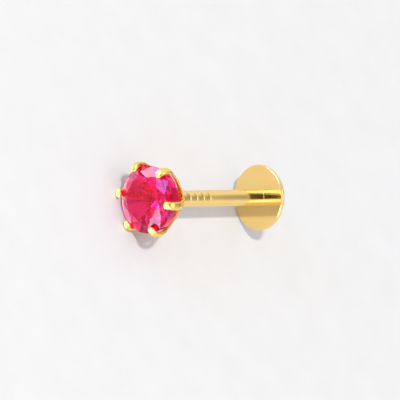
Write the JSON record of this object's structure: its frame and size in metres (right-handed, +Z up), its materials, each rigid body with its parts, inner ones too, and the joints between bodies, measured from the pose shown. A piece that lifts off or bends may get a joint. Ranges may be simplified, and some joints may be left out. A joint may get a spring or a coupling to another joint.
{
  "type": "nose pin",
  "caption": "Flat-backed nose pin: round brilliant-cut pink-red stone in an open claw setting, on a straight round gold post with a thin flat disc.",
  "frame": {"origin": "centre of the bounding box at the surface that the pin lies on", "axes": "+Z up; the pin lies on its side along X, stone towards -X and flat disc towards +X; the post leans up towards the stone by 0.62 degrees, because the ring of claws is a little wider than the disc"},
  "size_m": [0.0108, 0.0048, 0.0043],
  "materials": {
    "gold": "polished yellow gold",
    "stone": "polished facets, clear pink-red"
  },
  "bodies": {
    "back": {"flat_back": "gold"},
    "front": {"setting": "gold", "stone": "stone"}
  },
  "joints": [
    {"name": "front_release", "type": "slide", "parent": "back", "child": "front", "axis": [-0.9999, 0, 0.0108], "range_m": [0, 0.008]}
  ]
}
